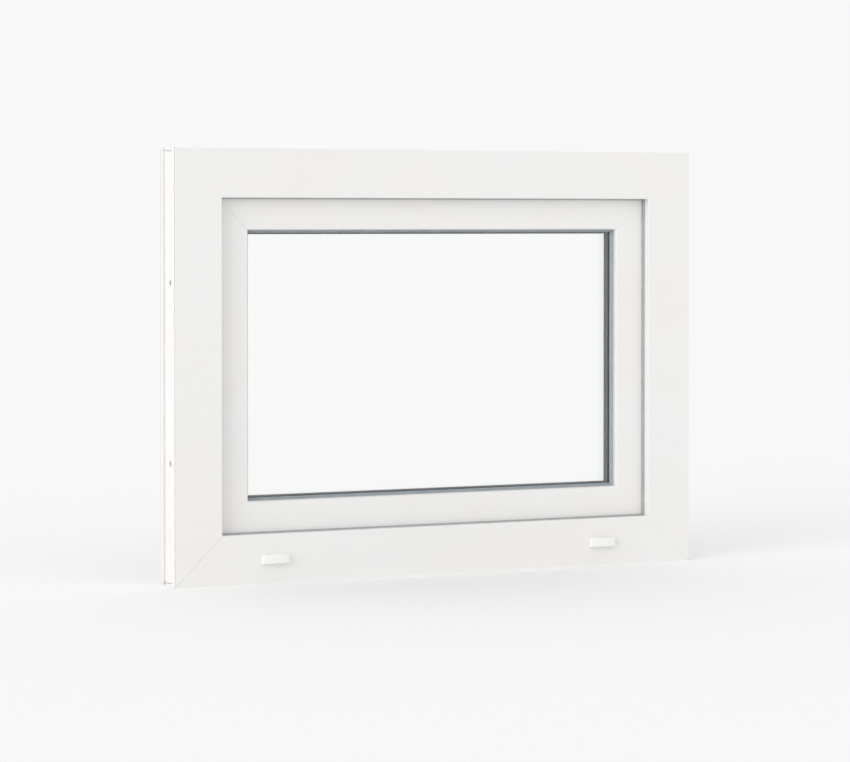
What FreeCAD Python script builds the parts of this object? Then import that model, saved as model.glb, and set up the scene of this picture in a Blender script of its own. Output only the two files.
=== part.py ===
import FreeCAD, Part
import math
import os
import Sketcher

# A side-hung casement window that opens inwards: a welded plastic outer frame, a welded
# plastic sash with a sealed double pane, and the lock, hinges and handle that work it.
# X runs along the sill, Y from the weather side (-Y) to the room side (+Y), Z is up.
# The origin is the middle of the sill's underside. Seen from outside, the lock side is
# on the left and the hinges are on the right.
#
# Profiles are drawn in two distances: "in" is how far a point lies behind the frame's
# weather face, and "up" is how far it lies from the frame's outer edge towards the glass.

SIZES = {
    # the window and its outer frame
    "overall_width": 800,
    "overall_height": 600,
    "frame_depth": 64,
    "frame_upstand": 68,
    "frame_rebate": 46,
    "lip_depth": 11.5,
    "rebate_start": 15.5,
    "wall": 3,
    "corner_soft": 1.2,
    # the steel bars inside the profiles
    "steel_wall": 1.5,
    "steel_clearance": 0.2,
    "steel_end_gap": 20,
    # the sash
    "sash_setback": 17.5,
    "sash_depth": 64.5,
    "sash_overlap": 38,
    "sash_rebate": 58,
    "seal_gap": 3,
    "glass_rebate": 94,
    "daylight": 112.5,
    "daylight_bevel": 2,
    "glazing_front": 10,
    "groove_width": 12.2,
    "groove_axis": 54,
    "faceplate_width": 16,
    "faceplate_thickness": 2,
    "slot_bottom": 70,
    # the glass unit
    "pane_thickness": 4,
    "pane_gap": 12,
    "gasket_thickness": 3,
    "pane_edge": 99.5,
    "spacer_height": 8,
    "spacer_sight": 118.4,
    "block_length": 100,
    # drainage
    "drain_offset": 255,
    "drain_height": 33.5,
    "drain_slot_length": 28,
    "drain_slot_height": 5,
    "cap_length": 38.5,
    "cap_height": 13,
    "cap_depth": 7,
    "cap_wall": 1.6,
    # fixing holes through the two jambs
    "fixing_depth": 20,
    "fixing_lower": 168,
    "fixing_upper": 415,
    "fixing_radius": 4,
    # the lock
    "handle_height": 300,
    "lock_travel": 18,
    "tooth_count": 10,
    "rod_width": 9.2,
    "rod_thickness": 2,
    "rod_low": 108,
    "rod_high": 488,
    "cam_lower": 165,
    "cam_upper": 452,
    "cam_radius": 3.8,
    "keep_length": 76,
    "spindle_side": 7,
    "handle_screw_spacing": 43,
    "lever_length": 128,
    "lever_reach": 52,
    # the hinges
    "hinge_axis_in": 76,
    "hinge_axis_up": 27,
    "knuckle_radius": 8,
    "pin_radius": 4,
    "running_gap": 0.05,
    "hinge_lower": 105,
    "hinge_upper": 495,
    "knuckle_length": 30,
    "outer_knuckle_length": 18,
    "leaf_thickness": 2.5,
    # screws
    "screw_radius": 2,
    "screw_head_radius": 3.6,
    "screw_sunk": 2,
    "screw_length": 16,
    "keep_screw_length": 8,
    "handle_screw_radius": 2.45,
    "handle_screw_head_radius": 4.4,
    "handle_screw_length": 36,
    "handle_base_thickness": 4,
    "cover_thickness": 5.5,
}


class Dim:
    """A length in millimetres together with the formula that binds it to the sheet."""

    def __init__(self, value, formula=None):
        self.value = float(value)
        self.formula = formula if formula else repr(float(value))

    def join(self, other, sign, value):
        return Dim(value, f"({self.formula} {sign} {other.formula})")

    def __add__(self, other):
        other = dim(other)
        return self.join(other, "+", self.value + other.value)

    def __sub__(self, other):
        other = dim(other)
        return self.join(other, "-", self.value - other.value)

    def __mul__(self, other):
        other = dim(other)
        return self.join(other, "*", self.value * other.value)

    def __truediv__(self, other):
        other = dim(other)
        return self.join(other, "/", self.value / other.value)

    def __radd__(self, other):
        return dim(other) + self

    def __rsub__(self, other):
        return dim(other) - self

    def __rmul__(self, other):
        return dim(other) * self

    def __neg__(self):
        return dim(0) - self


def dim(value):
    """Any number or Dim as a Dim."""
    return value if isinstance(value, Dim) else Dim(value)


class Sheet:
    """The driving dimensions by name, as Dims."""


doc = FreeCAD.newDocument("casement_window")
sheet = doc.addObject("Spreadsheet::Sheet", "Sizes")
size = Sheet()
for row, (alias, value) in enumerate(SIZES.items(), start=1):
    sheet.set(f"A{row}", alias)
    sheet.set(f"B{row}", str(value))
    sheet.setAlias(f"B{row}", alias)
    setattr(size, alias, Dim(value, f"Sizes.{alias}"))
doc.recompute()

HALF = size.frame_depth / 2
HALF_WIDTH = size.overall_width / 2
HALF_HEIGHT = size.overall_height / 2
SASH_FACE = size.sash_setback
SASH_BACK = size.sash_setback + size.sash_depth
OVERLAP_FACE = size.frame_depth + size.seal_gap
PANE_FACE = size.sash_setback + size.glazing_front + size.gasket_thickness
PANE_BACK = PANE_FACE + 2 * size.pane_thickness + size.pane_gap
BEAD_FACE = PANE_BACK + size.gasket_thickness
FACEPLATE_BACK = size.sash_rebate + size.faceplate_thickness
PINION_PITCH_RADIUS = size.lock_travel / (math.pi / 2)
ROD_FRONT = FACEPLATE_BACK + 0.15
ROD_BACK = ROD_FRONT + size.rod_thickness
TOOTH_MODULE = PINION_PITCH_RADIUS * 2 / size.tooth_count
RACK_PITCH_UP = ROD_BACK + TOOTH_MODULE * 0.95
SPINDLE_UP = RACK_PITCH_UP + PINION_PITCH_RADIUS
SPINDLE_X = SPINDLE_UP - HALF_WIDTH
HINGE_X = HALF_WIDTH - size.hinge_axis_up
HINGE_Y = size.hinge_axis_in - HALF

# the rack and pinion: flank angle in degrees, tooth height in modules, play on each flank
PRESSURE_ANGLE = 28
ADDENDUM = 0.8
TOOTH_PLAY = 0.12
TOOTH_WIDTH = 8
HUB_RADIUS = 6.4
CASE_DEPTH = 11.8

nodes = {}


def y_of(depth):
    """The Y of a point that lies the given depth behind the weather face."""
    return dim(depth) - HALF


def bind(target, name, length):
    """Set one property of a document object from a Dim and keep it bound to the sheet."""
    target.setExpression(name, dim(length).formula)


def place(target, x=0, y=0, z=0, rotation=None):
    """Put an object at a bound position, turned by an optional rotation."""
    x, y, z = dim(x), dim(y), dim(z)
    turn = rotation if rotation else FreeCAD.Rotation()
    target.Placement = FreeCAD.Placement(FreeCAD.Vector(x.value, y.value, z.value), turn)
    bind(target, "Placement.Base.x", x)
    bind(target, "Placement.Base.y", y)
    bind(target, "Placement.Base.z", z)


def turned(axis, angle):
    """A rotation about one of the row's axes."""
    axes = {"X": FreeCAD.Vector(1, 0, 0), "Y": FreeCAD.Vector(0, 1, 0), "Z": FreeCAD.Vector(0, 0, 1)}
    return FreeCAD.Rotation(axes[axis], angle)


def keep(label, target):
    """Record a finished sub-part under its own label."""
    target.Label = label
    nodes[label] = target
    return target


# ---- sketches and features ----


def new_body(label, finished=True):
    """A body, recorded as a sub-part unless something is still cut from it."""
    body = doc.addObject("PartDesign::Body", label)
    return keep(label, body) if finished else body


def new_sketch(body, role, offset=None):
    """A sketch on one of the body's own origin planes, moved along the plane's normal."""
    planes = [f for f in body.Origin.OriginFeatures if f.Role == role]
    sketch = body.newObject("Sketcher::SketchObject", "sketch")
    sketch.AttachmentSupport = (planes[0], [""])
    sketch.MapMode = "FlatFace"
    if offset is not None:
        sketch.AttachmentOffset = FreeCAD.Placement(
            FreeCAD.Vector(0, 0, dim(offset).value), FreeCAD.Rotation()
        )
        bind(sketch, "AttachmentOffset.Base.z", offset)
    return sketch


def pin_point(sketch, geometry, which, x, y):
    """Hold one point of a sketch at bound distances from the sketch's origin."""
    for kind, axis, length in (("DistanceX", -2, dim(x)), ("DistanceY", -1, dim(y))):
        if length.value == 0:
            sketch.addConstraint(Sketcher.Constraint("PointOnObject", geometry, which, axis))
            continue
        index = sketch.addConstraint(
            Sketcher.Constraint(kind, -1, 1, geometry, which, length.value)
        )
        bind(sketch, f"Constraints[{index}]", length)


def corner_ends(before, corner, after, radius):
    """Where a rounded corner of an outline starts and ends, and its centre."""
    ends = []
    for other in (before, after):
        move = []
        for own, far in zip(corner, other):
            step = (far.value > own.value) - (far.value < own.value)
            if abs(far.value - own.value) < 1e-6:
                step = 0
            move.append(own + radius * step if step else own)
        ends.append(tuple(move))
    centre = tuple(
        first if abs(first.value - own.value) > 1e-6 else second
        for own, first, second in zip(corner, ends[0], ends[1])
    )
    return ends[0], ends[1], centre


def outline(sketch, corners):
    """A closed outline of straight lines. A corner given as (x, y, radius) is rounded, and
    its two sides must run along the sketch's axes."""
    points = [(dim(c[0]), dim(c[1])) for c in corners]
    radii = [dim(c[2]) if len(c) > 2 else None for c in corners]
    count = len(points)
    stops = []
    for i, corner in enumerate(points):
        if radii[i] is None:
            stops.append((corner, corner, None))
        else:
            before, after = points[i - 1], points[(i + 1) % count]
            stops.append(corner_ends(before, corner, after, radii[i]))
    first = sketch.GeometryCount
    chain = []
    for i in range(count):
        start, end, centre = stops[i]
        if centre is not None:
            chain.append(corner_arc(sketch, start, end, centre, radii[i]))
        line_start, line_end = stops[i][1], stops[(i + 1) % count][0]
        index = sketch.addGeometry(
            Part.LineSegment(vector(line_start), vector(line_end)), False
        )
        pin_point(sketch, index, 1, *line_start)
        chain.append((index, 1, 2))
    for here, there in zip(chain, chain[1:] + chain[:1]):
        sketch.addConstraint(
            Sketcher.Constraint("Coincident", here[0], here[2], there[0], there[1])
        )
    return first


def vector(point):
    return FreeCAD.Vector(point[0].value, point[1].value, 0)


def corner_arc(sketch, start, end, centre, radius):
    """A rounded corner. The result names the arc and which of its ends comes first."""
    middle = vector(centre)
    bisector = (vector(start) + vector(end)) * 0.5 - middle
    bisector.normalize()
    top = middle + bisector * radius.value
    index = sketch.addGeometry(Part.Arc(vector(start), top, vector(end)), False)
    starts_first = (sketch.getPoint(index, 1) - vector(start)).Length < 1e-4
    head, tail = (1, 2) if starts_first else (2, 1)
    held = sketch.addConstraint(Sketcher.Constraint("Radius", index, radius.value))
    bind(sketch, f"Constraints[{held}]", radius)
    pin_point(sketch, index, head, *start)
    return index, head, tail


def circle(sketch, x, y, radius):
    """A circle of a bound radius about a bound centre."""
    x, y, radius = dim(x), dim(y), dim(radius)
    middle = FreeCAD.Vector(x.value, y.value, 0)
    shape = Part.Circle(middle, FreeCAD.Vector(0, 0, 1), radius.value)
    index = sketch.addGeometry(shape, False)
    pin_point(sketch, index, 3, x, y)
    held = sketch.addConstraint(Sketcher.Constraint("Radius", index, radius.value))
    bind(sketch, f"Constraints[{held}]", radius)


def rectangle(low_x, high_x, low_y, high_y):
    """The corners of an upright rectangle."""
    return [(low_x, low_y), (low_x, high_y), (high_x, high_y), (high_x, low_y)]


def pad(body, sketch, length, symmetric=False, reverse=False):
    feature = body.newObject("PartDesign::Pad", "pad")
    feature.Profile = sketch
    feature.SideType = "Symmetric" if symmetric else "One side"
    feature.Reversed = reverse
    bind(feature, "Length", length)
    body.Tip = feature
    return feature


def pocket(body, sketch, length=None, reverse=False):
    """Cut a sketch out of the body: to a depth, or right through both ways."""
    feature = body.newObject("PartDesign::Pocket", "pocket")
    feature.Profile = sketch
    if length is None:
        feature.Type = "ThroughAll"
        feature.SideType = "Symmetric"
    else:
        feature.Reversed = reverse
        bind(feature, "Length", length)
    body.Tip = feature
    return feature


def soften(body, kind, base, amount, edges):
    """Chamfer or round the named edges of one of the body's features."""
    feature = body.newObject("PartDesign::" + kind, "soften")
    feature.Base = (base, edges)
    bind(feature, "Size" if kind == "Chamfer" else "Radius", amount)
    body.Tip = feature
    return feature


# ---- primitives ----


def block(name, x, y, z):
    """A box between bound low and high faces along each axis."""
    shape = doc.addObject("Part::Box", name)
    for side, (low, high) in zip(("Length", "Width", "Height"), (x, y, z)):
        bind(shape, side, dim(high) - dim(low))
    place(shape, x[0], y[0], z[0])
    return shape


AXIS_TURNS = {
    "+Z": FreeCAD.Rotation(),
    "-Z": turned("X", 180),
    "+Y": turned("X", -90),
    "-Y": turned("X", 90),
    "+X": turned("Y", 90),
    "-X": turned("Y", -90),
}


def cylinder(name, radius, length, direction, x, y, z):
    shape = doc.addObject("Part::Cylinder", name)
    bind(shape, "Radius", radius)
    bind(shape, "Height", length)
    place(shape, x, y, z, AXIS_TURNS[direction])
    return shape


def cone(name, start_radius, end_radius, length, direction, x, y, z):
    shape = doc.addObject("Part::Cone", name)
    bind(shape, "Radius1", start_radius)
    bind(shape, "Radius2", end_radius)
    bind(shape, "Height", length)
    place(shape, x, y, z, AXIS_TURNS[direction])
    return shape


def fuse(name, shapes):
    joined = doc.addObject("Part::MultiFuse", name)
    joined.Shapes = shapes
    return joined


def cut(name, base, tools):
    """The base with every tool taken away."""
    tool = tools[0] if len(tools) == 1 else fuse(name + "_tools", tools)
    result = doc.addObject("Part::Cut", name)
    result.Base = base
    result.Tool = tool
    return result


def group(label, shapes):
    """Several separate solids that share one node."""
    together = doc.addObject("Part::Compound", label)
    together.Links = shapes
    return keep(label, together)


def tube_bar(name, x, y, z, along):
    """A square steel tube that runs along one axis."""
    outer = block(name + "_outer", x, y, z)
    skin = size.steel_wall
    sides = {
        key: (low, high) if key == along else (dim(low) + skin, dim(high) - skin)
        for key, (low, high) in {"X": x, "Y": y, "Z": z}.items()
    }
    inner = block(name + "_inner", sides["X"], sides["Y"], sides["Z"])
    return cut(name, outer, [inner])


def screw_parts(name, direction, x, y, z, length, gap=0.0):
    """A countersunk screw, or with a gap the hole that clears it."""
    head = size.screw_head_radius + gap
    shank = size.screw_radius + gap
    taper = cone(name + "_head", head, shank, size.screw_sunk, direction, x, y, z)
    body = cylinder(name + "_shank", shank, length, direction, x, y, z)
    return fuse(name, [taper, body])


# ---- the outer frame ----


def member_turns():
    """Each side of a rectangular frame: its span, its turn and where its outer edge lies."""
    return {
        "bottom": (size.overall_width, 0, (0, 0, 0)),
        "left": (size.overall_height, 90, (-HALF_WIDTH, 0, HALF_HEIGHT)),
        "top": (size.overall_width, 180, (0, 0, size.overall_height)),
        "right": (size.overall_height, -90, (HALF_WIDTH, 0, HALF_HEIGHT)),
    }


def mitred_member(label, side, contour, chambers):
    """One side of a welded frame: a hollow profile with both ends cut at 45 degrees."""
    span, angle, spot = member_turns()[side]
    body = new_body(label)
    section = new_sketch(body, "YZ_Plane")
    outline(section, [(y_of(c[0]), *c[1:]) for c in contour])
    for chamber in chambers:
        outline(section, [(y_of(c[0]), c[1]) for c in chamber])
    pad(body, section, span, symmetric=True)
    mitres = new_sketch(body, "XZ_Plane")
    reach = size.spacer_sight + 10
    for side_sign in (-1, 1):
        end = span / 2 * side_sign
        outline(mitres, [(end, 0), (end - reach * side_sign, reach), (end, reach)])
    pocket(body, mitres)
    place(body, *spot, rotation=turned("Y", angle))
    return body


def frame_contour():
    """The outer frame's profile, from its weather-side outer edge."""
    soft = size.corner_soft
    back = size.frame_depth
    lip = size.lip_depth
    top = size.frame_upstand
    return [
        (0, 0),
        (0, top, soft),
        (lip, top, 1),
        (lip, top - 4),
        (lip - 3, top - 4),
        (lip - 3, top - 7),
        (lip, top - 7),
        (lip, top - 11),
        (size.rebate_start, size.frame_rebate),
        (back, size.frame_rebate, 0.8),
        (back, 0),
        (back - 3, 0),
        (back - 3, 2.5),
        (back - 5.5, 2.5),
        (back - 5.5, 0),
        (back - 13, 0),
        (back - 13, 3),
        (back - 25, 3),
        (back - 25, 0),
        (3.2, 0),
        (3.2, 1.2),
        (2, 1.2),
        (2, 0),
    ]


def frame_chambers():
    """The hollow chambers inside the outer frame's profile."""
    floor = size.frame_rebate - size.wall
    return [
        rectangle(size.wall, size.lip_depth - 4.5, size.frame_rebate, size.frame_upstand - 3),
        rectangle(size.wall, 13, 4, floor),
        rectangle(14.5, 24.5, 4, floor),
        rectangle(26, 54, 6, floor - 3),
        rectangle(55.5, size.frame_depth - size.wall, 5.5, floor),
    ]


def frame_sill():
    """The bottom member, with drain slots in its weather face and its rebate floor."""
    body = mitred_member("frame_sill", "bottom", frame_contour(), frame_chambers())
    half_slot = size.drain_slot_length / 2
    half_height = size.drain_slot_height / 2
    weather = new_sketch(body, "XZ_Plane", HALF)
    floor = new_sketch(body, "XY_Plane", size.frame_rebate)
    for side_sign in (-1, 1):
        middle = size.drain_offset * side_sign
        low, high = middle - half_slot, middle + half_slot
        outline(
            weather,
            rectangle(low, high, size.drain_height - half_height, size.drain_height + half_height),
        )
        inner = (size.drain_offset - 60) * side_sign
        outline(floor, rectangle(inner - half_slot, inner + half_slot, y_of(17.5), y_of(22.5)))
    pocket(body, weather, size.wall + 2)
    pocket(body, floor, size.wall + 2)


def frame_jamb(label, side, upright):
    """A side member with two fixing holes through it. upright is how its own length runs."""
    body = mitred_member(label, side, frame_contour(), frame_chambers())
    holes = new_sketch(body, "XY_Plane")
    for level in (size.fixing_lower, size.fixing_upper):
        circle(holes, (level - HALF_HEIGHT) * upright, y_of(size.fixing_depth), size.fixing_radius)
    pocket(body, holes)


def bars(label, low_in, high_in, low_up, high_up, inset):
    """Four steel bars, one in the same chamber of each side of a frame."""
    low_in, high_in = y_of(low_in + size.steel_clearance), y_of(high_in - size.steel_clearance)
    low_up, high_up = low_up + size.steel_clearance, high_up - size.steel_clearance
    across = (-HALF_WIDTH + inset, HALF_WIDTH - inset)
    upright = (inset, size.overall_height - inset)
    depth = (low_in, high_in)
    tall = size.overall_height
    bottom = tube_bar(label + "_bottom", across, depth, (low_up, high_up), "X")
    top = tube_bar(label + "_top", across, depth, (tall - high_up, tall - low_up), "X")
    left = tube_bar(
        label + "_left", (low_up - HALF_WIDTH, high_up - HALF_WIDTH), depth, upright, "Z"
    )
    right = tube_bar(
        label + "_right", (HALF_WIDTH - high_up, HALF_WIDTH - low_up), depth, upright, "Z"
    )
    group(label, [bottom, top, left, right])


def ring(label, contour, path_up):
    """A strip of constant section that runs round the window and is joined at its corners."""
    body = new_body(label)
    section = new_sketch(body, "YZ_Plane")
    outline(section, [(y_of(c[0]), *c[1:]) for c in contour])
    path = new_sketch(body, "XZ_Plane")
    side = HALF_WIDTH - path_up
    high = size.overall_height - path_up
    outline(path, [(0, path_up), (side, path_up), (side, high), (-side, high), (-side, path_up)])
    pipe = body.newObject("PartDesign::AdditivePipe", "pipe")
    pipe.Profile = section
    pipe.Spine = (path, [f"Edge{n}" for n in range(1, 6)])
    pipe.Transition = "Right corner"
    body.Tip = pipe
    return body


def frame_seal():
    """The rubber seal in the frame's lip, which the closed sash presses against."""
    lip = size.lip_depth
    top = size.frame_upstand
    touch = size.sash_setback - 0.2
    contour = [
        (lip - 2.9, top - 6.9),
        (lip - 2.9, top - 4.1),
        (lip, top - 4.1),
        (lip, top - 0.4),
        (lip + 2, top + 1.8),
        (touch, top + 1.8),
        (touch, top - 2),
        (lip + 2.5, top - 6.9),
    ]
    ring("frame_seal", contour, top)


def drain_cap(label, side_sign):
    """A hooded cap that clips into a drain slot and lets water out underneath."""
    body = new_body(label)
    half = size.cap_length / 2
    low = size.drain_height - size.cap_height / 2
    high = size.drain_height + size.cap_height / 2
    skin = size.cap_wall
    shell = new_sketch(body, "XZ_Plane", HALF)
    outline(shell, rectangle(-half, half, low, high))
    solid = pad(body, shell, size.cap_depth)
    doc.recompute()
    soften(body, "Chamfer", solid, 1.4, front_edges(solid.Shape, -(HALF + size.cap_depth).value))
    hollow = new_sketch(body, "XZ_Plane", HALF)
    outline(hollow, rectangle(-half + skin, half - skin, low - 1, high - skin))
    pocket(body, hollow, size.cap_depth - skin, reverse=True)
    tongue = new_sketch(body, "XZ_Plane", HALF + size.cap_depth - skin)
    reach = size.drain_slot_length / 2 - 2
    outline(tongue, rectangle(-reach, reach, size.drain_height - 0.8, size.drain_height + 0.8))
    pad(body, tongue, size.cap_depth - skin + size.wall + 1, reverse=True)
    place(body, size.drain_offset * side_sign, 0, 0)


def front_edges(shape, y_face):
    """The names of the edges that lie in the plane y = y_face."""
    return [
        f"Edge{n}"
        for n, edge in enumerate(shape.Edges, start=1)
        if all(abs(v.Point.y - y_face) < 1e-6 for v in edge.Vertexes)
    ]


# ---- the sash ----


def sash_contour():
    """The sash's profile, from the weather side of its rebate face."""
    front = SASH_FACE
    back = SASH_BACK
    low = size.sash_rebate
    half_slot = size.groove_width / 2
    half_plate = size.faceplate_width / 2 + 0.1
    axis = size.groove_axis
    face = OVERLAP_FACE
    return [
        (front, low, 0.8),
        (front, size.daylight - 1.5),
        (front + size.daylight_bevel, size.daylight),
        (front + size.glazing_front, size.daylight),
        (front + size.glazing_front, size.glass_rebate),
        (66, size.glass_rebate),
        (66, size.glass_rebate - 3.5),
        (69, size.glass_rebate - 3.5),
        (69, size.glass_rebate),
        (back, size.glass_rebate),
        (back, size.sash_overlap, 2.5),
        (face, size.sash_overlap, 1),
        (face, size.sash_overlap + 3),
        (face + 3, size.sash_overlap + 3),
        (face + 3, size.sash_overlap + 6),
        (face, size.sash_overlap + 6),
        (face, low),
        (axis + half_plate, low),
        (axis + half_plate, FACEPLATE_BACK),
        (axis + half_slot, FACEPLATE_BACK),
        (axis + half_slot, size.slot_bottom),
        (axis - half_slot, size.slot_bottom),
        (axis - half_slot, FACEPLATE_BACK),
        (axis - half_plate, FACEPLATE_BACK),
        (axis - half_plate, low),
    ]


def sash_chambers():
    """The hollow chambers inside the sash's profile."""
    front = SASH_FACE
    low = size.sash_rebate + size.wall
    floor = size.glass_rebate - size.wall
    half_slot = size.groove_width / 2
    axis = size.groove_axis
    back = SASH_BACK - 2.5
    return [
        rectangle(front + 2.8, front + 8.5, low, floor - 0.5),
        rectangle(front + 2.8, front + 7.2, floor + 1, size.daylight - 4.5),
        rectangle(27.5, 46, low, floor),
        rectangle(axis - half_slot, axis + half_slot, size.slot_bottom + 2, floor + 1),
        rectangle(63.6, back, low - 0.5, floor - 3),
        rectangle(71.5, back, size.sash_overlap + 3, size.sash_rebate + 0.5),
    ]


def sash_lock_stile():
    """The sash's lock-side upright, milled for the gearbox, spindle and handle screws."""
    body = mitred_member("sash_lock_stile", "left", sash_contour(), sash_chambers())
    half_slot = size.groove_width / 2
    axis = size.groove_axis
    level = HALF_HEIGHT - size.handle_height
    mill = new_sketch(body, "XY_Plane", size.slot_bottom + 3)
    outline(mill, rectangle(level - 64, level + 64, y_of(axis - half_slot), y_of(axis + half_slot)))
    pocket(body, mill, 4)
    drill = new_sketch(body, "XZ_Plane", -y_of(SASH_BACK))
    circle(drill, level, SPINDLE_UP, 6)
    for side_sign in (-1, 1):
        circle(drill, level + size.handle_screw_spacing / 2 * side_sign, SPINDLE_UP, 5)
    pocket(body, drill, SASH_BACK - axis - half_slot + 1, reverse=True)


def sash_seal():
    """The rubber seal in the sash's overlap, which closes on the frame's room face."""
    face = OVERLAP_FACE
    low = size.sash_overlap
    touch = size.frame_depth + 0.3
    contour = [
        (face + 2.9, low + 3.1),
        (face + 2.9, low + 5.9),
        (face, low + 5.9),
        (face, low + 7.5),
        (touch, low + 6.6),
        (touch, low + 4.6),
        (face - 0.8, low + 3.1),
    ]
    ring("sash_seal", contour, low)


def outer_gasket():
    """The grey strip between the sash's lip and the outer pane."""
    lip = SASH_FACE + size.glazing_front
    top = size.daylight
    contour = [
        (lip - 2.5, top),
        (lip, top),
        (lip, top - 5.5),
        (PANE_FACE, top - 5.5),
        (PANE_FACE, top + 3.8),
        (PANE_FACE - 1, top + 3.8),
        (lip - 2.5, top + 0.7),
    ]
    ring("glazing_gasket_outer", contour, top)


def inner_gasket():
    """The grey strip between the inner pane and the glazing bead."""
    top = size.daylight
    contour = [
        (PANE_BACK, top - 5.5),
        (PANE_BACK, top + 3.3),
        (PANE_BACK + 1, top + 3.3),
        (BEAD_FACE, top + 0.8),
        (BEAD_FACE, top - 5.5),
    ]
    ring("glazing_gasket_inner", contour, top)


def pane(label, front):
    """One sheet of glass."""
    edge = size.pane_edge
    x = (edge - HALF_WIDTH, HALF_WIDTH - edge)
    z = (edge, size.overall_height - edge)
    keep(label, block(label, x, (y_of(front), y_of(front + size.pane_thickness)), z))


def flat_ring(label, low_in, high_in, low_up, high_up):
    """A ring of rectangular section round the glass."""
    depth = (y_of(low_in), y_of(high_in))
    tall = size.overall_height
    outer = block(
        label + "_outer", (low_up - HALF_WIDTH, HALF_WIDTH - low_up), depth, (low_up, tall - low_up)
    )
    inner = block(
        label + "_inner",
        (high_up - HALF_WIDTH, HALF_WIDTH - high_up),
        (y_of(low_in - 1), y_of(high_in + 1)),
        (high_up, tall - high_up),
    )
    keep(label, cut(label, outer, [inner]))


def setting_blocks():
    """Plastic blocks that carry the glass and keep it clear of the sash's rebate."""
    depth = (y_of(PANE_FACE - 1), y_of(PANE_BACK + 1))
    low, high = size.glass_rebate, size.pane_edge
    tall = size.overall_height
    half = size.block_length / 2
    pieces = []
    for side_sign in (-1, 1):
        middle = HALF_WIDTH / 2 * side_sign
        span = (middle - half, middle + half)
        pieces.append(block("block_bottom", span, depth, (low, high)))
        pieces.append(block("block_top", span, depth, (tall - high, tall - low)))
    upright = (HALF_HEIGHT - half, HALF_HEIGHT + half)
    pieces.append(block("block_left", (low - HALF_WIDTH, high - HALF_WIDTH), depth, upright))
    pieces.append(block("block_right", (HALF_WIDTH - high, HALF_WIDTH - low), depth, upright))
    group("setting_blocks", pieces)


def bead_contour():
    """The glazing bead's profile, with the foot that snaps into the sash."""
    low = size.glass_rebate
    back = SASH_BACK
    nose = size.daylight + 1
    return [
        (BEAD_FACE, low),
        (BEAD_FACE, nose),
        (BEAD_FACE + 3.5, nose),
        (back - 2.5, nose - 12.5),
        (back, nose - 14.5),
        (back, low),
        (68.9, low),
        (68.9, low - 3),
        (66.1, low - 3),
        (66.1, low),
    ]


def bead_chambers():
    low = size.glass_rebate + 2.5
    nose = size.daylight - 2.3
    return [
        [
            (BEAD_FACE + 2.5, low),
            (BEAD_FACE + 2.5, nose),
            (BEAD_FACE + 4, nose),
            (SASH_BACK - 4.5, nose - 10.8),
            (SASH_BACK - 2.5, nose - 12.8),
            (SASH_BACK - 2.5, low),
        ]
    ]


# ---- the lock ----


def faceplate():
    """The steel strip that covers the drive rod, with a slot for each cam."""
    axis = size.groove_axis
    half = size.faceplate_width / 2
    ends = (size.rod_low - 26, size.rod_high + 30)
    x = (size.sash_rebate - HALF_WIDTH, FACEPLATE_BACK - HALF_WIDTH)
    plate = block("faceplate_blank", x, (y_of(axis - half), y_of(axis + half)), ends)
    tools = []
    slot = size.cam_radius + 0.4
    through = (x[0] - 1, x[1] + 1)
    for level in (size.cam_lower, size.cam_upper):
        span = (level - size.lock_travel - slot, level + slot)
        tools.append(block("cam_slot", through, (y_of(axis - slot), y_of(axis + slot)), span))
    for level in faceplate_screw_levels():
        tools.append(
            screw_parts("faceplate_hole", "+X", x[0], y_of(axis), level, size.screw_length, 0.1)
        )
    keep("lock_faceplate", cut("lock_faceplate", plate, tools))


def faceplate_screw_levels():
    """Heights of the faceplate's end screws, clear of the drive rod's travel."""
    return [size.rod_low - 22, size.rod_high + 22]


def faceplate_screws():
    x = size.sash_rebate - HALF_WIDTH
    y = y_of(size.groove_axis)
    levels = faceplate_screw_levels()
    group(
        "faceplate_screws",
        [screw_parts("faceplate_screw", "+X", x, y, z, size.screw_length) for z in levels],
    )


def rod_solid():
    """The drive rod: a flat steel strip with rack teeth opposite the pinion."""
    module = TOOTH_MODULE.value
    pitch = math.pi * module
    lean = math.tan(math.radians(PRESSURE_ANGLE))
    half_thick = pitch / 4 - TOOTH_PLAY
    root = ROD_BACK.value
    pitch_line = RACK_PITCH_UP.value
    tip = pitch_line + ADDENDUM * module
    half_root = half_thick + (pitch_line - root) * lean
    half_tip = half_thick - (tip - pitch_line) * lean
    outer = size.handle_height.value
    points = [(ROD_FRONT.value, size.rod_low.value), (root, size.rod_low.value)]
    for tooth in range(-2, 6):
        level = outer + tooth * pitch
        points.append((root, level - half_root))
        points.append((tip, level - half_tip))
        points.append((tip, level + half_tip))
        points.append((root, level + half_root))
    points += [(root, size.rod_high.value), (ROD_FRONT.value, size.rod_high.value)]
    corners = [FreeCAD.Vector(up - HALF_WIDTH.value, 0, z) for up, z in points]
    face = Part.Face(Part.makePolygon(corners + corners[:1]))
    return face.extrude(FreeCAD.Vector(0, size.rod_width.value, 0))


def involute(base, radius):
    """The angle of an involute at a radius, from where it leaves the base circle."""
    roll = math.sqrt(max((radius / base) ** 2 - 1, 0))
    return roll - math.atan(roll)


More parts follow.
